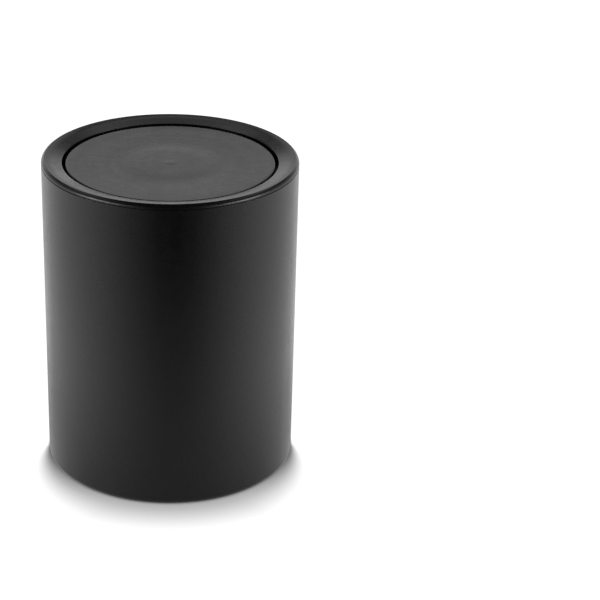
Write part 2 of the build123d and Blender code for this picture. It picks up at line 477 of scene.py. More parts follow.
class Effects:
    """The shared effects of all the finishes, each built once."""

    def __init__(self) -> None:
        """Builds every group."""
        self.grain = self._grain()
        self.handling = self._handling()
        self.streaks = self._streaks()
        self.rings = self._rings()
        self.edge = self._edge()

    @staticmethod
    def _grain() -> bpy.types.NodeTree:
        """Spark-eroded grain: fine pits, and the patches in which their depth varies.

        Returns:
            The node group.
        """
        swell_fineness, patch_fineness = 1.7, 0.09  # against that of the pits
        pit_depth, swell_depth = 0.6, 0.8
        patch_range = (0.34, 0.66)
        group = Effect("moulded_grain", {"Place": None, "Grain": 0.4 * MM}, ("Height", "Patches"))
        wire, place = group.wiring, group.given["Place"]
        fineness = wire.math("DIVIDE", 1.0, group.given["Grain"])
        pits = wire.node("TexVoronoi", {"Vector": place, "Scale": fineness}, feature="SMOOTH_F1")
        pits = wire.math("MULTIPLY", pits.outputs["Distance"], pit_depth)
        swell = wire.noise(place, wire.math("MULTIPLY", fineness, swell_fineness), 3.0)
        swell = wire.math("MULTIPLY", swell, swell_depth)
        patches = wire.noise(place, wire.math("MULTIPLY", fineness, patch_fineness), 4.0, Roughness=0.62)
        group.give("Height", wire.math("ADD", pits, swell))
        group.give("Patches", wire.span(patches, *patch_range))
        return group.tree

    @staticmethod
    def _handling() -> bpy.types.NodeTree:
        """Marks of use: wiped smears, hairline scratches and specks of dust.

        Returns:
            The node group.
        """
        smear_range = (0.47, 0.7)
        thread_scale, thread_stretch, thread_width = 420.0, 0.04, 0.012
        thread_lays = ((0.5, 0.0), (1.9, 3.1))  # turn and shift of each set of scratches
        patch_scale, patch_range = 55.0, (0.55, 0.7)
        speck_scale, speck_rarity = 260.0, 0.98
        speck_fade: Ramp = (0.05, 0.16, 1.0, 0.0)
        group = Effect("handling_marks", {"Place": None, "Smear": 30 * MM}, ("Smears", "Hairlines", "Dust"))
        wire, place = group.wiring, group.given["Place"]
        wide = wire.math("DIVIDE", 1.0, group.given["Smear"])
        group.give("Smears", wire.span(wire.noise(place, wide, 5.0, Distortion=1.4), *smear_range))
        hairlines = None
        for turn, shift in thread_lays:
            laid = wire.node("Mapping", {
                "Vector": place, "Rotation": (turn, turn / 2, turn), "Location": (shift,) * 3,
                "Scale": (1.0, thread_stretch, 1.0),
            }).outputs["Vector"]
            threads = wire.noise(laid, thread_scale, 0.0)
            near = wire.math("ABSOLUTE", wire.math("SUBTRACT", threads, 0.5))
            line = wire.span(near, 0.0, thread_width, 1.0, 0.0)
            hairlines = line if hairlines is None else wire.math("MAXIMUM", hairlines, line)
        patchy = wire.span(wire.noise(place, patch_scale, 1.0), *patch_range)
        group.give("Hairlines", wire.math("MULTIPLY", hairlines, patchy))
        specks = wire.node("TexVoronoi", {"Vector": place, "Scale": speck_scale}).outputs
        lot = wire.node("SeparateColor", {"Color": specks["Color"]}).outputs[0]
        chosen = wire.math("GREATER_THAN", lot, speck_rarity)
        group.give("Dust", wire.math("MULTIPLY", wire.span(specks["Distance"], *speck_fade), chosen))
        return group.tree

    @staticmethod
    def _streaks() -> bpy.types.NodeTree:
        """Draw marks along the axis of a turned wall, left as it slides from the mould.

        Returns:
            The node group.
        """
        broad_share, fine_share = 0.25, 1.6  # of the count
        streak_range = (0.32, 0.68)
        sizes = {"Count": 26.0, "Length": 240 * MM}
        group = Effect("draw_streaks", {"Place": None, **sizes}, ("Streaks", "Fine"))
        wire, given = group.wiring, group.given
        parts = wire.split(given["Place"])
        around = wire.split(wire.vector("NORMALIZE", wire.joined(X=parts["X"], Y=parts["Y"])))
        along = wire.math("DIVIDE", parts["Z"], given["Length"])
        for name, share, detail in (("Streaks", broad_share, 3.0), ("Fine", fine_share, 2.0)):
            count = wire.math("MULTIPLY", given["Count"], share)
            x, y = (wire.math("MULTIPLY", around[axis], count) for axis in ("X", "Y"))
            noise = wire.noise(wire.joined(X=x, Y=y, Z=along), 1.0, detail)
            group.give(name, wire.span(noise, *streak_range))
        return group.tree

    @staticmethod
    def _rings() -> bpy.types.NodeTree:
        """Flow rings round the gate of a flat moulding, with rays that run outwards.

        Returns:
            The node group.
        """
        ring_wander, ray_count, ray_drift = 0.7, 9.0, 0.12
        ring_range, ray_range = (0.32, 0.68), (0.36, 0.64)
        group = Effect("flow_rings", {"Place": None, "Spacing": 5 * MM}, ("Rings", "Rays"))
        wire, given = group.wiring, group.given
        parts = wire.split(given["Place"])
        flat = wire.joined(X=parts["X"], Y=parts["Y"])
        heading = wire.vector("NORMALIZE", flat)
        turns = wire.math("DIVIDE", wire.vector("LENGTH", flat), given["Spacing"])
        ring_place = wire.vector("ADD", wire.scaled(heading, ring_wander), wire.joined(Z=turns))
        drift = wire.joined(Z=wire.math("MULTIPLY", turns, ray_drift))
        ray_place = wire.vector("ADD", wire.scaled(heading, ray_count), drift)
        group.give("Rings", wire.span(wire.noise(ring_place, 1.0, 2.0), *ring_range))
        group.give("Rays", wire.span(wire.noise(ray_place, 1.0, 3.0), *ray_range))
        return group.tree

    @staticmethod
    def _edge() -> bpy.types.NodeTree:
        """A soft band round one circular edge, for the polish that handling leaves.

        Returns:
            The node group.
        """
        break_scale = 120.0
        break_range: Ramp = (0.3, 0.6, 0.45, 1.0)
        sizes = {"Radius": 75 * MM, "Height": 0.0, "Width": 2 * MM}
        group = Effect("edge_band", {"Place": None, **sizes}, ("Band",))
        wire, given = group.wiring, group.given
        parts = wire.split(given["Place"])
        radius = wire.vector("LENGTH", wire.joined(X=parts["X"], Y=parts["Y"]))
        outwards = wire.math("SUBTRACT", radius, given["Radius"])
        upwards = wire.math("SUBTRACT", parts["Z"], given["Height"])
        apart = wire.vector("LENGTH", wire.joined(X=outwards, Y=upwards))
        near = wire.math("SUBTRACT", 1.0, wire.math("DIVIDE", apart, given["Width"]))
        breaks = wire.span(wire.noise(given["Place"], break_scale, 3.0), *break_range)
        group.give("Band", wire.math("MULTIPLY", wire.span(near, 0.0, 1.0), breaks))
        return group.tree


# --------------------------------------------------------------------- finishes
class Flow(Enum):
    """How the plastic ran and left its mould, which sets the marks that it carries."""

    AXIAL = "draw_streaks"
    RADIAL = "flow_rings"


def blank_finish(name: str) -> tuple[bpy.types.Material, Wiring]:
    """Makes a material with an empty node tree, and the wiring that fills it.

    Args:
        name: the material's name.

    Returns:
        The material and its wiring.
    """
    made = bpy.data.materials.new(name)
    made.use_nodes = True
    return made, Wiring(made.node_tree)


def grey(level: float, blue: float) -> tuple[float, float, float, float]:
    """A linear grey whose blue is raised by a factor."""
    return level, level, level * blue, 1


@dataclass(frozen=True)
class MouldedPlastic:
    """Satin black moulded plastic.

    Attributes:
        name: the material's name.
        flow: the marks that it carries.
        black: the body colour, linear.
        bloom: the slightly paler colour of smears and thin dust.
        black_blue, bloom_blue: how much stronger the blue of each colour is.
        roughness: the mean roughness.
        variation: how far patches, marks and smears move the roughness.
        grain: the width of one pit of its grain.
        depth: how deep the grain goes.
        edges: the radius and height of each circular edge that handling has polished.
        edge_width: how far that polish reaches from an edge.
        patch_lift, broad_lift, fine_lift, smear_lift, dust_lift, hairline_lift: how many
            variations rougher each kind of mark is.
        edge_polish: how many variations smoother a polished edge is.
        patch_bloom, smear_bloom, hairline_bloom: the share of bloom in each kind of mark.
        hairline_depth: how deep a scratch goes, against the grain.
        ior: the index of refraction.
    """

    name: str
    flow: Flow
    black: float = 0.002
    bloom: float = 0.006
    black_blue: float = 1.04
    bloom_blue: float = 1.02
    roughness: float = 0.27
    variation: float = 0.045
    grain: float = 0.45 * MM
    depth: float = 0.005 * MM
    edges: tuple[tuple[float, float], ...] = ()
    edge_width: float = 1.6 * MM
    patch_lift: float = 0.7
    broad_lift: float = 0.8
    fine_lift: float = 0.4
    smear_lift: float = 0.55
    dust_lift: float = 1.2
    hairline_lift: float = 0.8
    edge_polish: float = 0.9
    patch_bloom: float = 0.25
    smear_bloom: float = 0.35
    hairline_bloom: float = 0.7
    hairline_depth: float = 0.5
    ior: float = 1.5

    def polish(self, wire: Wiring, place: Socket, effects: Effects) -> Any:
        """How far handling has polished each spot.

        Args:
            wire: the material's wiring.
            place: the socket of the spot's place.
            effects: the shared node groups.

        Returns:
            The socket of a number from 0 to 1, or 0 where no edge is polished.
        """
        worn: Any = 0.0
        for radius, height in self.edges:
            sizes = {"Radius": radius, "Height": height, "Width": self.edge_width}
            worn = wire.math("MAXIMUM", worn, wire.effect(effects.edge, place, **sizes)["Band"])
        return worn

    def material(self, effects: Effects) -> bpy.types.Material:
        """Builds the material.

        Args:
            effects: the shared node groups.

        Returns:
            The finished material.
        """
        made, wire = blank_finish(self.name)
        place = wire.node("TexCoord").outputs["Object"]
        flow = effects.streaks if self.flow is Flow.AXIAL else effects.rings
        grain = wire.effect(effects.grain, place, Grain=self.grain)
        marks = wire.effect(effects.handling, place)
        broad, fine = wire.effect(flow, place)

        lift = wire.math("MULTIPLY", wire.math("SUBTRACT", grain["Patches"], 0.5), self.patch_lift)
        for mark, weight in (
            (wire.math("SUBTRACT", broad, 0.5), self.broad_lift),
            (wire.math("SUBTRACT", fine, 0.5), self.fine_lift),
            (marks["Smears"], self.smear_lift),
            (marks["Dust"], self.dust_lift),
            (self.polish(wire, place, effects), -self.edge_polish),
            (marks["Hairlines"], self.hairline_lift),
        ):
            lift = wire.math("MULTIPLY_ADD", mark, weight, lift)
        rough = wire.math("MULTIPLY_ADD", lift, self.variation, self.roughness)

        pale = wire.math("MULTIPLY", marks["Smears"], self.smear_bloom)
        pale = wire.math("MULTIPLY_ADD", grain["Patches"], self.patch_bloom, pale)
        pale = wire.math("MAXIMUM", pale, marks["Dust"])
        pale = wire.math("MAXIMUM", pale, wire.math("MULTIPLY", marks["Hairlines"], self.hairline_bloom))
        colour = wire.blend(pale, grey(self.black, self.black_blue), grey(self.bloom, self.bloom_blue))
        relief = wire.math("MULTIPLY_ADD", marks["Hairlines"], -self.hairline_depth, grain["Height"])
        bump = wire.node("Bump", {"Height": relief, "Strength": 1.0, "Distance": self.depth})
        shader = wire.node("BsdfPrincipled", {
            "Base Color": colour, "Roughness": rough, "IOR": self.ior, "Normal": bump.outputs["Normal"]
        })
        wire.node("OutputMaterial", {"Surface": shader.outputs["BSDF"]})
        return made


@dataclass(frozen=True)
class ZincSteel:
    """Zinc-plated steel of the pins and the counterweight, dull and slightly spangled.

    Attributes:
        name: the material's name.
        bright: the palest grey of a spangle, linear.
        dull: the darkest grey.
        bright_blue, dull_blue: how much stronger the blue of each grey is.
        roughness: the roughness of the darkest spangle.
        spangle: the width of one spangle.
        grain: the width of one pit of its grain.
        depth: how deep the grain goes.
        patch_share: the share of the tone that broad patches have, against the spangles.
        bright_polish: how much smoother the palest spangle is.
        smear_lift: how much rougher a smear is.
    """

    name: str = "zinc_steel_finish"
    bright: float = 0.58
    dull: float = 0.40
    bright_blue: float = 1.02
    dull_blue: float = 1.03
    roughness: float = 0.34
    spangle: float = 2.2 * MM
    grain: float = 0.25 * MM
    depth: float = 0.01 * MM
    patch_share: float = 0.35
    bright_polish: float = 0.08
    smear_lift: float = 0.12

    def material(self, effects: Effects) -> bpy.types.Material:
        """Builds the material from spangles, fine grain and handling marks.

        Args:
            effects: the shared node groups.

        Returns:
            The finished material.
        """
        made, wire = blank_finish(self.name)
        place = wire.node("TexCoord").outputs["Object"]
        flakes = wire.node("TexVoronoi", {"Vector": place, "Scale": 1 / self.spangle})
        tone = wire.node("SeparateColor", {"Color": flakes.outputs["Color"]}).outputs[0]
        grain = wire.effect(effects.grain, place, Grain=self.grain)
        marks = wire.effect(effects.handling, place)
        tone = wire.math("MULTIPLY", tone, 1 - self.patch_share)
        tone = wire.math("MULTIPLY_ADD", grain["Patches"], self.patch_share, tone)
        colour = wire.blend(tone, grey(self.dull, self.dull_blue), grey(self.bright, self.bright_blue))
        rough = wire.math("MULTIPLY_ADD", tone, -self.bright_polish, self.roughness)
        rough = wire.math("MULTIPLY_ADD", marks["Smears"], self.smear_lift, rough)
        bump = wire.node("Bump", {"Height": grain["Height"], "Strength": 1.0, "Distance": self.depth})
        shader = wire.node("BsdfPrincipled", {
            "Base Color": colour, "Metallic": 1.0, "Roughness": rough, "Normal": bump.outputs["Normal"]
        })
        wire.node("OutputMaterial", {"Surface": shader.outputs["BSDF"]})
        return made


# --------------------------------------------------------------------- the bin
@dataclass
class BinBody:
    """The open moulded bin, with its foot ring and stepped floor."""

    rim_radius: float
    height: float
    taper: float = 1.1 * MM
    wall: float = 2.4 * MM
    base: float = 2.6 * MM
    foot_rounding: float = 4.5 * MM
    floor_corner: float = 5.0 * MM
    rim_break: float = 0.15 * MM
    edge_break: float = 0.25 * MM
    foot_ring_radius: float = 52.0 * MM
    step_width: float = 1.5 * MM
    step_height: float = 1.0 * MM
    pedestal_foot: float = 43.3 * MM
    pedestal_slope: float = 4.8 * MM
    pedestal_height: float = 4.0 * MM
    pedestal_rounding: float = 0.9 * MM
    disc_radius: float = 30.2 * MM
    disc_rise: float = 2.0 * MM
    groove_width: float = 0.8 * MM
    groove_depth: float = 0.5 * MM
    gate_radius: float = 2.4 * MM
    gate_nub: float = 1.2 * MM
    gate_depth: float = 0.4 * MM

    @classmethod
    def from_frame(cls) -> BinBody:
        """Takes the rim's radius and height from the CAD body."""
        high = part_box("bin_body")[1]
        return cls(rim_radius=high.x, height=high.z)

    @property
    def raised_floor(self) -> float:
        """Height of the floor inside the foot ring."""
        return self.base + self.step_height

    @property
    def pedestal_edge(self) -> float:
        """Height of the edge where the pedestal's slope ends."""
        return self.raised_floor + self.pedestal_height

    @property
    def disc_top(self) -> float:
        """Height of the raised disc in the middle of the floor."""
        return self.pedestal_edge + self.disc_rise

    def outer_run(self) -> list[Corner]:
        """The outside.

        Returns:
            The corners from the middle of the underside to the middle of the rim.
        """
        edge_under = self.pedestal_edge - self.base
        return [
            Corner(0, self.disc_top - self.base),
            Corner(self.disc_radius + self.groove_width, self.disc_top - self.base),
            Corner(self.pedestal_foot - self.pedestal_slope, edge_under, self.pedestal_rounding),
            Corner(self.pedestal_foot, self.raised_floor - self.base, self.edge_break),
            Corner(self.foot_ring_radius - self.step_width, self.step_height, self.edge_break),
            Corner(self.foot_ring_radius, 0, self.edge_break),
            Corner(self.rim_radius - self.taper, 0, self.foot_rounding),
            Corner(self.rim_radius, self.height, self.rim_break),
            Corner(self.rim_radius - self.wall / 2, self.height),
        ]

    def inner_run(self) -> list[Corner]:
        """The inside.

        Returns:
            The corners from the middle of the rim to the middle of the floor.
        """
        raised, disc_z = self.raised_floor, self.disc_top
        groove_outer = self.disc_radius + self.groove_width
        lean = self.taper / self.height
        fine = self.edge_break / 2
        return [
            Corner(self.rim_radius - self.wall / 2, self.height),
            Corner(self.rim_radius - self.wall, self.height, self.rim_break),
            Corner(self.rim_radius - self.taper - self.wall + lean * self.base, self.base, self.floor_corner),
            Corner(self.foot_ring_radius, self.base, self.edge_break),
            Corner(self.foot_ring_radius - self.step_width, raised, self.edge_break),
            Corner(self.pedestal_foot, raised, self.edge_break),
            Corner(self.pedestal_foot - self.pedestal_slope, self.pedestal_edge, self.pedestal_rounding),
            Corner(groove_outer, disc_z, fine),
            Corner(groove_outer, disc_z - self.groove_depth, fine),
            Corner(self.disc_radius, disc_z - self.groove_depth, fine),
            Corner(self.disc_radius, disc_z, fine),
            Corner(self.gate_radius, disc_z, fine),
            Corner(self.gate_radius, disc_z - self.gate_depth, fine),
            Corner(self.gate_nub, disc_z - self.gate_depth, fine),
            Corner(self.gate_nub, disc_z, fine),
            Corner(0, disc_z),
        ]

    def build(self, effects: Effects) -> bpy.types.Object:
        """Turns the shell, dresses it and seats it on the bin's body.

        Args:
            effects: the shared node groups.

        Returns:
            The bin.
        """
        piece = Turning().turn(self.outer_run()).turn(self.inner_run()).piece("bin_shell")
        smooth(piece)
        rim = (self.rim_radius - self.wall / 2, self.height)
        foot = (self.rim_radius - self.taper - self.foot_rounding / 2, self.foot_rounding / 3)
        dress(piece, MouldedPlastic("bin_satin", Flow.AXIAL, edges=(rim, foot)).material(effects))
        return seat(piece, "bin", ("bin_body",))


# --------------------------------------------------------------------- the lid
@dataclass
class PivotLine:
    """The line that the flap turns on, and the pins that lie on it."""

    offset: float
    height: float
    pin_radius: float
    inner_end: float
    outer_end: float
    pin_chamfer: float = 0.25 * MM

    @classmethod
    def from_frame(cls) -> PivotLine:
        """Takes the line and the ends of the pins from the CAD pin at the back.

        Returns:
            The line.
        """
        low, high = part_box("pivot_pin_rear")
        return cls(
            offset=(low.x + high.x) / 2, height=(low.z + high.z) / 2, pin_radius=(high.z - low.z) / 2,
            inner_end=low.y, outer_end=high.y,
        )

    def point(self, y: float) -> Vector:
        """A point on the line."""
        return Vector((self.offset, y, self.height))

    def bore(self, radius: float, start: float, end: float) -> bpy.types.Object:
        """Makes the drill for a bore along the line.

        Args:
            radius: the bore's radius.
            start: where it starts, along Y.
            end: where it ends.

        Returns:
            The drill as a solid.
        """
        return rod(radius, self.point(start), self.point(end))

    def build(self, effects: Effects) -> list[bpy.types.Object]:
        """Makes both pins, chamfered at the ends, and seats them on the lid.

        Args:
            effects: the shared node groups.

        Returns:
            The front pin and the rear one.
        """
        steel = ZincSteel().material(effects)
        pins = []
        for side, node in ((-1, "pivot_pin_front"), (1, "pivot_pin_rear")):
            ends = sorted((side * self.inner_end, side * self.outer_end))
            pin = rod(self.pin_radius, self.point(ends[0]), self.point(ends[1]), chamfer=self.pin_chamfer)
            pin.name = node.replace("pivot_pin", "steel_pin")
            smooth(pin)
            dress(pin, steel)
            pins.append(seat(pin, "lid", (node,)))
        return pins


@dataclass
class LidRing:
    """The ring that sits on the rim, dished towards a round mouth."""

    outer_radius: float
    seam_height: float
    top_height: float
    ring_width: float = 12.3 * MM
    mouth_drop: float = 3.1 * MM
    bead: float = 2.75 * MM
    flank_slope: float = math.radians(23)
    crest_inset: float = 1.8 * MM
    crest_drop: float = 0.45 * MM
    crest_rounding: float = 0.5 * MM
    knee_inset: float = 5.3 * MM
    knee_drop: float = 0.85 * MM
    knee_rounding: float = 15.0 * MM
    thickness: float = 2.2 * MM
    mouth_rounding: float = 0.22 * MM
    apron_wall: float = 1.8 * MM
    apron_depth: float = 9.2 * MM
    skirt_inset: float = 2.6 * MM
    skirt_wall: float = 2.0 * MM
    skirt_depth: float = 10.0 * MM
    hidden_rounding: float = 0.4 * MM
    seam_rounding: float = 0.1 * MM
    seam_groove: float = 0.5 * MM
    seam_gap: float = 0.55 * MM
    cheek_width: float = 14.0 * MM
    cheek_depth: float = 7.5 * MM
    bore_clearance: float = 0.02 * MM
    ledge_reach: float = 4.5 * MM
    ledge_width: float = 24.0 * MM
    ledge_thickness: float = 2.0 * MM
    ledge_gap: float = 0.2 * MM

    @classmethod
    def from_frame(cls) -> LidRing:
        """Takes the outside and the top from the CAD ring, and the seam from the bin."""
        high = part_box("lid_ring")[1]
        return cls(outer_radius=high.x, seam_height=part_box("bin_body")[1].z, top_height=high.z)

    @property
    def mouth_radius(self) -> float:
        """Radius of the round mouth."""
        return self.outer_radius - self.ring_width

    @property
    def mouth_height(self) -> float:
        """Height of the mouth's edge."""
        return self.top_height - self.mouth_drop

    @property
    def skirt_radius(self) -> float:
        """Outside radius of the skirt."""
        return self.outer_radius - self.skirt_inset

    @property
    def crest(self) -> Corner:
        """Where the bead's flank meets the dished face."""
        radius = self.outer_radius - self.crest_inset
        return Corner(radius, self.top_height - self.crest_drop, self.crest_rounding)

    @property
    def knee(self) -> Corner:
        """Where the dished face turns from nearly level to its full slope."""
        radius = self.outer_radius - self.knee_inset
        return Corner(radius, self.top_height - self.knee_drop, self.knee_rounding)

    def face_height(self, radius: float) -> float:
        """Height of the dished face.

        Args:
            radius: where on the face, between the mouth and the crest.

        Returns:
            The height there, with the roundings left out.
        """
        mouth = Corner(self.mouth_radius, self.mouth_height)
        low, high = (mouth, self.knee) if radius < self.knee.radius else (self.knee, self.crest)
        share = (radius - low.radius) / (high.radius - low.radius)
        return low.height + share * (high.height - low.height)

    def shown_run(self) -> list[Corner]:
        """The outside: seam, bead, dished face and the mouth's edge.

        Returns:
            The corners from the seam with the bin to the apron's foot.
        """
        apron_foot = self.mouth_height - self.apron_depth
        groove_top = self.seam_height + self.seam_gap
        bead_height = self.crest.height - self.crest_inset * math.tan(self.flank_slope)
        return [
            Corner(self.skirt_radius, self.seam_height),
            Corner(self.outer_radius - self.seam_groove, self.seam_height),
            Corner(self.outer_radius - self.seam_groove, groove_top),
            Corner(self.outer_radius, groove_top, self.seam_rounding),
            Corner(self.outer_radius, bead_height, self.bead),
            self.crest,
            self.knee,
            Corner(self.mouth_radius, self.mouth_height, self.mouth_rounding),
            Corner(self.mouth_radius, apron_foot, self.hidden_rounding),
            Corner(self.mouth_radius + self.apron_wall / 2, apron_foot),
        ]

    def hidden_run(self) -> list[Corner]:
        """The hidden side: back of the apron, underside and skirt.

        Returns:
            The corners from the apron's foot back to the seam.
        """
        apron_foot = self.mouth_height - self.apron_depth
        apron_back = self.mouth_radius + self.apron_wall
        skirt_front = self.skirt_radius - self.skirt_wall
        skirt_foot = self.seam_height - self.skirt_depth
        return [
            Corner(self.mouth_radius + self.apron_wall / 2, apron_foot),
            Corner(apron_back, apron_foot, self.hidden_rounding),
            Corner(apron_back, self.face_height(apron_back) - self.thickness, self.hidden_rounding),
            Corner(skirt_front, self.face_height(skirt_front) - self.thickness, self.hidden_rounding),
            Corner(skirt_front, skirt_foot, self.hidden_rounding),
            Corner(self.skirt_radius, skirt_foot, self.hidden_rounding),
            Corner(self.skirt_radius, self.seam_height),
        ]

    @staticmethod
    def band(inner: float, outer: float, foot: float, inner_top: float, outer_top: float) -> bpy.types.Object:
        """Makes a ring-shaped blank for the cheeks and the ledge.

        Args:
            inner: its inner radius.
            outer: its outer radius.
            foot: the height of its foot.
            inner_top: the height of its top at the inner radius.
            outer_top: the height of its top at the outer radius.

        Returns:
            The blank.
        """
        places = ((inner, foot), (outer, foot), (outer, outer_top), (inner, inner_top), (inner, foot))
        return Turning().turn([Corner(*place) for place in places]).piece("tool_band")

    def cheeks(self, pivot: PivotLine) -> bpy.types.Object:
        """The two cheeks between apron and skirt that hold the pins.

        Args:
            pivot: the line that the pins lie on.

        Returns:
            Both cheeks as one object.
        """
        inner = self.mouth_radius + SKIN
        outer = self.skirt_radius - self.skirt_wall / 2
        blank = self.band(
            inner, outer, pivot.height - self.cheek_depth,
            self.face_height(inner) - self.thickness / 2, self.face_height(outer) - self.thickness / 2,
        )
        low = Vector((pivot.offset - self.cheek_width / 2, 0, 0))
        high = Vector((pivot.offset + self.cheek_width / 2, self.outer_radius, self.top_height))
        work(blank, block(low - Vector((0, self.outer_radius, 0)), high), Fit.TRIM)
        return blank

    def ledge(self, flap_bottom: float) -> bpy.types.Object:
        """The ledge on the +X side that the closed flap's narrow side rests on.

        Args:
            flap_bottom: the underside of the closed flap.

        Returns:
            The ledge.
        """
        top = flap_bottom - self.ledge_gap
        foot = top - self.ledge_thickness
        blank = self.band(
            self.mouth_radius - self.ledge_reach, self.mouth_radius + self.apron_wall - SKIN, foot, top, top
        )
        half = self.ledge_width / 2
        keep = block(Vector((0, -half, 0)), Vector((self.outer_radius, half, self.top_height)))
        work(blank, keep, Fit.TRIM)
        return blank

    def build(self, effects: Effects, pivot: PivotLine, flap_bottom: float) -> bpy.types.Object:
        """Turns the ring, adds cheeks and ledge, drills it, dresses it and seats it.

        Args:
            effects: the shared node groups.
            pivot: the line that the pins lie on.
            flap_bottom: the underside of the closed flap.

        Returns:
            The ring.
        """
        piece = Turning().turn(self.shown_run()).turn(self.hidden_run()).piece("lid_ring_shell")
        work(piece, self.cheeks(pivot), Fit.JOIN)
        work(piece, self.ledge(flap_bottom), Fit.JOIN)
        drill = pivot.bore(pivot.pin_radius + self.bore_clearance, -self.outer_radius, self.outer_radius)
        work(piece, drill, Fit.CUT)
        smooth(piece)
        crest = (self.crest.radius, self.crest.height)
        mouth = (self.mouth_radius, self.mouth_height)
        dress(piece, MouldedPlastic("ring_satin", Flow.RADIAL, edges=(crest, mouth)).material(effects))
        return seat(piece, "lid", ("lid_ring",))


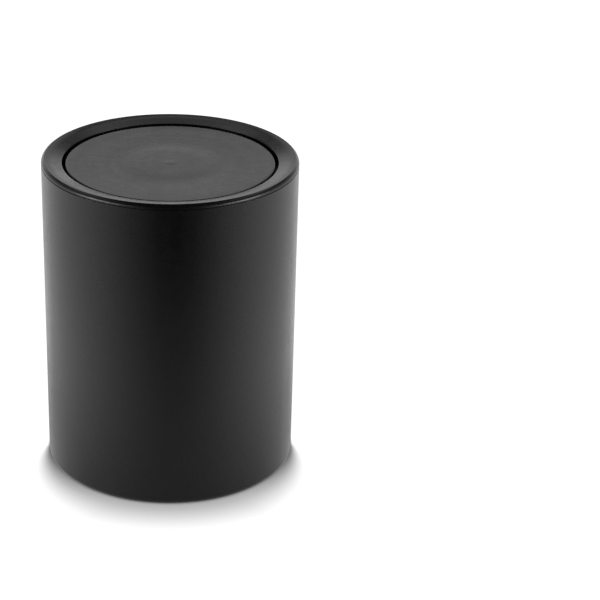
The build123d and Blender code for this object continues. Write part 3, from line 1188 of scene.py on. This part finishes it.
# --------------------------------------------------------------------- the flap
@dataclass
class SwingFlap:
    """The flap: a visible cover on a shallow pan that carries bearings and a weight."""

    radius: float
    bottom: float
    pan_radius: float
    cover_under: float
    cover_thickness: float = 1.8 * MM
    cover_rounding: float = 0.8 * MM
    cover_drop: float = 0.2 * MM
    dish: float = 0.45 * MM
    centre_radius: float = 31.0 * MM
    centre_ramp: float = 12.0 * MM
    centre_rise: float = 0.1 * MM
    centre_rounding: float = 350.0 * MM
    gate_radius: float = 4.6 * MM
    gate_crown: float = 1.4 * MM
    gate_rise: float = 0.07 * MM
    gate_rounding: float = 40.0 * MM
    spigot_clearance: float = 0.15 * MM
    spigot_wall: float = 1.4 * MM
    spigot_depth: float = 2.0 * MM
    pan_floor: float = 1.5 * MM
    pan_wall: float = 1.8 * MM
    pan_rounding: float = 1.4 * MM
    seam_chamfer: float = 0.35 * MM
    fine_rounding: float = 0.15 * MM
    boss_width: float = 8.0 * MM
    boss_gap: float = 0.3 * MM
    boss_end_wall: float = 1.3 * MM
    pin_end_gap: float = 0.3 * MM
    bore_clearance: float = 0.05 * MM
    weight_gap: float = 0.3 * MM
    fence_thickness: float = 1.8 * MM
    fence_height: float = 3.0 * MM

    @classmethod
    def from_frame(cls) -> SwingFlap:
        """Takes both radii and heights from the CAD cover and pan.

        Returns:
            The flap.
        """
        pan_low, pan_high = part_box("flap_pan")
        return cls(
            radius=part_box("flap_cover")[1].x, bottom=pan_low.z, pan_radius=pan_high.x, cover_under=pan_high.z
        )

    @property
    def top(self) -> float:
        """Height of the cover's top at its rim."""
        return self.cover_under + self.cover_thickness - self.cover_drop

    @property
    def pan_inside(self) -> float:
        """Inside radius of the pan's wall."""
        return self.pan_radius - self.pan_wall

    def build_cover(self, effects: Effects, pivot: PivotLine) -> bpy.types.Object:
        """Turns the cover, notches its spigot for the bosses, dresses and seats it.

        Args:
            effects: the shared node groups.
            pivot: the line that the flap turns on.

        Returns:
            The cover.
        """
        spigot_outer = self.pan_inside - self.spigot_clearance
        spigot_inner = spigot_outer - self.spigot_wall
        spigot_foot = self.cover_under - self.spigot_depth
        dished = self.top - self.dish
        raised = dished + self.centre_rise
        seam = self.pan_inside + self.pan_wall / 2
        shell = Turning()
        shell.turn([
            Corner(0, raised + self.gate_rise),
            Corner(self.gate_crown, raised + self.gate_rise, self.gate_rounding),
            Corner(self.gate_radius, raised, self.gate_rounding),
            Corner(self.centre_radius - self.centre_ramp, raised, self.centre_rounding),
            Corner(self.centre_radius, dished, self.centre_rounding),
            Corner(self.radius, self.top, self.cover_rounding),
            Corner(self.radius, self.cover_under, self.fine_rounding),
            Corner(seam, self.cover_under),
        ]).turn([
            Corner(seam, self.cover_under),
            Corner(spigot_outer, self.cover_under, self.fine_rounding),
            Corner(spigot_outer, spigot_foot, self.fine_rounding),
            Corner(spigot_inner, spigot_foot, self.fine_rounding),
            Corner(spigot_inner, self.cover_under, self.fine_rounding),
            Corner(0, self.cover_under),
        ])
        piece = shell.piece("flap_cover_shell")
        half = self.boss_width / 2 + self.boss_gap
        notch = block(
            Vector((pivot.offset - half, -self.radius, self.bottom)),
            Vector((pivot.offset + half, self.radius, self.cover_under)),
        )
        work(piece, notch, Fit.CUT)
        smooth(piece)
        rim = (self.radius, self.top)
        dress(piece, MouldedPlastic("cover_satin", Flow.RADIAL, edges=(rim,)).material(effects))
        return seat(piece, "flap", ("flap_cover",))

    def build_pan(self, effects: Effects, pivot: PivotLine) -> bpy.types.Object:
        """Turns the pan, adds bosses and fence, drills it, dresses and seats it.

        Args:
            effects: the shared node groups.
            pivot: the line that the flap turns on.

        Returns:
            The pan.
        """
        floor = self.bottom + self.pan_floor
        seam = self.pan_inside + self.pan_wall / 2
        shell = Turning()
        shell.turn([
            Corner(0, self.bottom),
            Corner(self.pan_radius, self.bottom, self.pan_rounding),
            Corner(self.pan_radius, self.cover_under - self.seam_chamfer),
            Corner(self.pan_radius - self.seam_chamfer, self.cover_under),
            Corner(seam, self.cover_under),
        ]).turn([
            Corner(seam, self.cover_under),
            Corner(self.pan_inside, self.cover_under, self.fine_rounding),
            Corner(self.pan_inside, floor, self.fine_rounding),
            Corner(0, floor),
        ])
        piece = shell.piece("flap_pan_shell")
        bore_start = pivot.inner_end - self.pin_end_gap
        boss_start = bore_start - self.boss_end_wall
        half = self.boss_width / 2
        bosses = block(
            Vector((pivot.offset - half, boss_start, floor - SKIN)),
            Vector((pivot.offset + half, self.pan_radius, self.cover_under - SKIN)), mirrored=True,
        )
        work(bosses, self.plug(self.pan_inside + self.pan_wall / 2), Fit.TRIM)
        work(piece, bosses, Fit.JOIN)
        weight_low, weight_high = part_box("flap_counterweight")
        fence_end = weight_low.x - self.weight_gap
        fence = block(
            Vector((fence_end - self.fence_thickness, -self.radius, floor - SKIN)),
            Vector((fence_end, self.radius, floor + self.fence_height)),
        )
        work(fence, self.plug(weight_high.x), Fit.TRIM)
        work(piece, fence, Fit.JOIN)
        for side in (-1, 1):
            ends = sorted((side * bore_start, side * self.radius))
            work(piece, pivot.bore(pivot.pin_radius + self.bore_clearance, *ends), Fit.CUT)
        smooth(piece)
        rim = (self.pan_radius, self.bottom)
        dress(piece, MouldedPlastic("pan_satin", Flow.RADIAL, roughness=0.3, edges=(rim,)).material(effects))
        return seat(piece, "flap", ("flap_pan",))

    def plug(self, radius: float) -> bpy.types.Object:
        """A solid disc through the flap, for trimming parts to a round outline.

        Args:
            radius: its radius.

        Returns:
            The disc.
        """
        foot, head = self.bottom - self.pan_wall, self.top + self.pan_wall
        places = ((0, foot), (radius, foot), (radius, head), (0, head))
        return Turning().turn([Corner(*place) for place in places]).piece("tool_plug")


# --------------------------------------------------------------------- the studio
@dataclass
class Studio:
    """A pale floor, a room that is bright behind the bin and beside it, and the camera.

    A bearing is the angle round the bin from straight in front, the same to both sides,
    and a reach is a distance from its axis. Levels and whites are shares of white, and
    a rise in the room is the sine of an elevation.
    """

    # the camera
    lens: float = 135.06
    sensor: float = 36.0
    frame_pixels: int = 600
    middle_pixel: tuple[float, float] = (170.55, 305.3)  # where the bin's middle falls
    distance: float = 1.386
    elevation: float = math.radians(24.66)
    middle_height: float = 98 * MM
    # the floor as a lamp: its full white at the open sides, and painted shade that darkens it far in front
    floor_size: float = 40.0
    floor_white: float = 0.6
    dark_lean: float = 0.06
    open_bearing: float = math.radians(95)
    front_painted_shade: Ramp = (0.12, 0.55, 0.85, 0.0)  # over the reach
    # the floor in mirrors: a share of that tone, dimmed near the bin at its sides and back, and a glow at the
    # open sides, dimmer near the bin; both dimmings are painted shadow
    gloss_share: float = 0.52
    gloss_low: float = 0.3
    gloss_run: tuple[float, float] = (0.1, 0.5)
    gloss_turn: tuple[float, float] = (math.radians(60), math.radians(130))
    glow_rise: Ramp = (0.08, 0.22, 0.42, 0.78)  # over the reach
    glow_fade: Ramp = (0.24, 0.44, 1.0, 0.7)
    # the floor to the camera: white, with the bin's shadow widest in front; the shadow is partly real in the
    # diffuse light and partly painted by holding back the glow round the foot
    seen_white: float = 0.5
    glow_white: float = 0.98
    glow_near: tuple[float, float] = (0.32, 0.03)  # beside the foot, in front and at its sides
    contact_run: tuple[float, float] = (71.5 * MM, 75.5 * MM)
    shadow_foot: float = 76 * MM
    shadow_run: tuple[float, float] = (-8 * MM, 37.5 * MM)
    shadow_turn: tuple[float, float] = (math.radians(30), math.radians(92))
    shadow_side: float = 0.05
    # the room: a pale wall behind, a light overhead, and soft low light beside the bin
    around_run: tuple[float, float] = (-0.85, 0.1)  # from the dark front to the lit room
    steepest: float = 0.05  # keeps a heading finite straight up
    wall_level: float = 0.97
    wall_edge: tuple[float, float] = (0.315, 0.50)  # the rises where the pale wall ends
    wall_side: Ramp = (0.40, 0.75, 1.0, 0.55)
    dim_level: float = 0.05
    over_level: float = 0.8
    over_foot: tuple[float, float] = (0.59, 0.72)
    over_head: tuple[float, float] = (0.74, 0.91)
    front_level: float = 0.03
    soft_level: float = 14.0
    soft_rise: tuple[float, float] = (math.radians(15), math.radians(80))
    soft_fall: tuple[float, float] = (math.radians(66), math.radians(92))
    soft_head: tuple[float, float] = (0.13, 0.25)

    def build(self) -> None:
        """Builds floor, world and camera."""
        self.lay_floor()
        self.light_world()
        self.place_camera()
        bpy.context.scene.view_settings.view_transform = "Standard"

    @staticmethod
    def bearing(wire: Wiring, across: Socket, along: Socket) -> Socket:
        """The bearing of a place or an aim, from how far it is to the side and to the back."""
        return wire.math("ARCTAN2", across, wire.math("MULTIPLY", along, -1.0))

    def seen_glow(self, wire: Wiring, reach: Socket, bearing: Socket) -> Socket:
        """What whitens the floor to the camera, held back round the foot so that it paints the bin's shadow
        there.

        Args:
            wire: the floor's wiring.
            reach: the distance from the axis.
            bearing: the angle round it.

        Returns:
            The strength of the glow.
        """
        # painted shadow: the glow fades out towards the foot, widest in front and narrow at the sides
        narrow = wire.span(bearing, *self.shadow_turn, 1.0, self.shadow_side, soft=False)
        apart = wire.math("DIVIDE", wire.math("SUBTRACT", reach, self.shadow_foot), narrow)
        near = wire.span(bearing, *self.shadow_turn, *self.glow_near)
        near = wire.math("MULTIPLY", near, wire.span(reach, *self.contact_run))
        return wire.span(apart, *self.shadow_run, near, self.glow_white)

    def mirrored_glow(
        self, wire: Wiring, reach: Socket, bearing: Socket, tone: Socket, lit: Socket
    ) -> Socket:
        """What glossy plastic mirrors in the floor, with painted shadow that dims it near the bin.

        Args:
            wire: the floor's wiring.
            reach: the distance from the axis.
            bearing: the angle round it.
            tone: the floor's tone there, with its painted shade far in front.
            lit: 0 in front of the bin, and 1 at its open sides.

        Returns:
            The strength of the glow.
        """
        # painted shadow: the mirrored share of the floor's tone is dimmed near the bin at its sides and back
        beside = wire.span(bearing, *self.gloss_turn, 1.0, self.gloss_low)
        shine = wire.math("MULTIPLY", tone, self.gloss_share)
        shine = wire.math("MULTIPLY", shine, wire.span(reach, *self.gloss_run, beside, 1.0))
        # painted shadow: the glow is dimmer close to the bin, and it fades further out
        far = wire.math("MULTIPLY", wire.span(reach, *self.glow_rise), wire.span(reach, *self.glow_fade))
        return wire.math("MULTIPLY_ADD", lit, far, shine)

    def lay_floor(self) -> None:
        """Lays the floor: one look to the camera, one in mirrors, and one as a lamp.

        To the camera it is white with the bin's shadow, partly real and partly painted, and from below it
        isn't there. As a lamp and in mirrors it carries painted shade far in front and near the bin.
        """
        mesh = bmesh.new()
        bmesh.ops.create_grid(mesh, x_segments=1, y_segments=1, size=self.floor_size / 2)
        floor = solid_from(mesh, "studio_floor")
        finish, wire = blank_finish("studio_floor_white")
        place = wire.node("TexCoord").outputs["Object"]
        parts = wire.split(place)
        reach = wire.vector("LENGTH", place)
        rays = wire.node("LightPath").outputs
        seen = rays["Is Camera Ray"]
        across = wire.math("ABSOLUTE", wire.math("MULTIPLY_ADD", parts["Y"], self.dark_lean, parts["X"]))
        bearing = self.bearing(wire, across, parts["Y"])
        lit = wire.span(bearing, 0.0, self.open_bearing)
        # painted shade: the floor's colour darkens far in front of the bin, where the studio gives no light
        front = wire.span(reach, *self.front_painted_shade)
        tone = wire.math("ADD", front, wire.math("MULTIPLY", lit, wire.math("SUBTRACT", 1.0, front)))
        tone = wire.math("MULTIPLY", tone, self.floor_white)
        # painted shadow: the camera's glow is held back round the foot
        white = wire.math("MULTIPLY", seen, self.seen_glow(wire, reach, bearing))
        mirrored = self.mirrored_glow(wire, reach, bearing, tone, lit)
        mirrored = wire.math("MULTIPLY", rays["Is Glossy Ray"], mirrored)
        shade = wire.pick(seen, tone, self.seen_white)
        shade = wire.node("CombineColor", {0: shade, 1: shade, 2: shade}).outputs[0]
        cloth = wire.node("BsdfDiffuse", {"Color": shade}).outputs[0]
        glow = wire.node("Emission", {"Strength": wire.math("ADD", white, mirrored)}).outputs[0]
        upper = wire.node("AddShader", {0: cloth, 1: glow}).outputs[0]
        below = wire.math("MULTIPLY", wire.node("NewGeometry").outputs["Backfacing"], seen)
        gone = wire.node("BsdfTransparent").outputs[0]
        both = wire.node("MixShader", {0: below, 1: upper, 2: gone}).outputs[0]
        wire.node("OutputMaterial", {"Surface": both})
        dress(floor, finish)

    def light_world(self) -> None:
        """Lights the room, which is dark in front of the bin and white to the camera."""
        world = bpy.data.worlds.new("studio_room")
        bpy.context.scene.world = world
        world.use_nodes = True
        wire = Wiring(world.node_tree)
        parts = wire.split(wire.node("TexCoord").outputs["Generated"])
        rise = parts["Z"]
        across = wire.math("ABSOLUTE", parts["X"])
        level = wire.math("SQRT", wire.math("SUBTRACT", 1.0, wire.math("MULTIPLY", rise, rise)))
        level = wire.math("MAXIMUM", level, self.steepest)
        side = wire.span(wire.math("DIVIDE", across, level), *self.wall_side)
        wall = wire.math("MULTIPLY", side, wire.span(rise, *self.wall_edge, self.wall_level, self.dim_level))
        over = wire.span(rise, *self.over_head, self.over_level, 0.0)
        over = wire.math("MULTIPLY", wire.span(rise, *self.over_foot), over)
        room = wire.math("SUBTRACT", wire.math("ADD", wall, over), self.front_level)
        around = wire.span(wire.math("DIVIDE", parts["Y"], level), *self.around_run)
        sky = wire.math("MULTIPLY_ADD", room, around, self.front_level)
        bearing = self.bearing(wire, across, parts["Y"])
        onset = wire.span(bearing, *self.soft_rise)
        fall = wire.span(bearing, *self.soft_fall, 1.0, 0.0)
        soft = wire.math("MULTIPLY", wire.math("MULTIPLY", onset, onset), fall)
        soft = wire.math("MULTIPLY", soft, wire.span(rise, *self.soft_head, self.soft_level, 0.0))
        sky = wire.math("ADD", sky, soft)
        shown = wire.pick(wire.node("LightPath").outputs["Is Camera Ray"], sky, 1.0)
        back = wire.node("Background", {"Color": (1, 1, 1, 1), "Strength": shown})
        wire.node("OutputWorld", {"Surface": back.outputs[0]})

    def place_camera(self) -> None:
        """Puts the camera in front and above, with the bin left of the frame's middle.

        The camera is turned, not shifted, so that other views stay centred; the turn
        keeps the bin's axis upright in the frame.
        """
        data = bpy.data.cameras.new("camera")
        data.lens, data.sensor_width = self.lens, self.sensor
        camera = bpy.data.objects.new("camera", data)
        bpy.context.scene.collection.objects.link(camera)
        bpy.context.scene.camera = camera
        ahead = Vector((0, math.cos(self.elevation), -math.sin(self.elevation)))
        right = Vector((1, 0, 0))
        room = Matrix((right, right.cross(ahead), ahead)).transposed()
        focal = self.lens / self.sensor * self.frame_pixels
        across, down = (pixel - self.frame_pixels / 2 for pixel in self.middle_pixel)
        sight = Vector((across, -down, -focal)).normalized()
        level = Vector((-sight.z, 0, sight.x)).normalized()
        view = Matrix((level, level.cross(sight), sight)).transposed()
        place = Vector((0, 0, self.middle_height)) - ahead * self.distance
        camera.matrix_world = Matrix.Translation(place) @ (room @ view.transposed()).to_4x4()


def main() -> None:
    """Builds the bin, the lid ring, the flap and the studio round the CAD frame."""
    logging.basicConfig(level=logging.INFO, format="%(message)s")
    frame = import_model()
    effects = Effects()
    pivot = PivotLine.from_frame()
    flap = SwingFlap.from_frame()
    BinBody.from_frame().build(effects)
    LidRing.from_frame().build(effects, pivot, flap.bottom)
    flap.build_cover(effects, pivot)
    flap.build_pan(effects, pivot)
    pivot.build(effects)
    weight = frame["nodes"]["flap_counterweight"]
    dress(weight, ZincSteel("weight_zinc", spangle=6 * MM).material(effects))
    LOG.info("%s: the frame's own mesh, in zinc", weight.name)
    Studio().build()


if __name__ == "__main__":
    main()
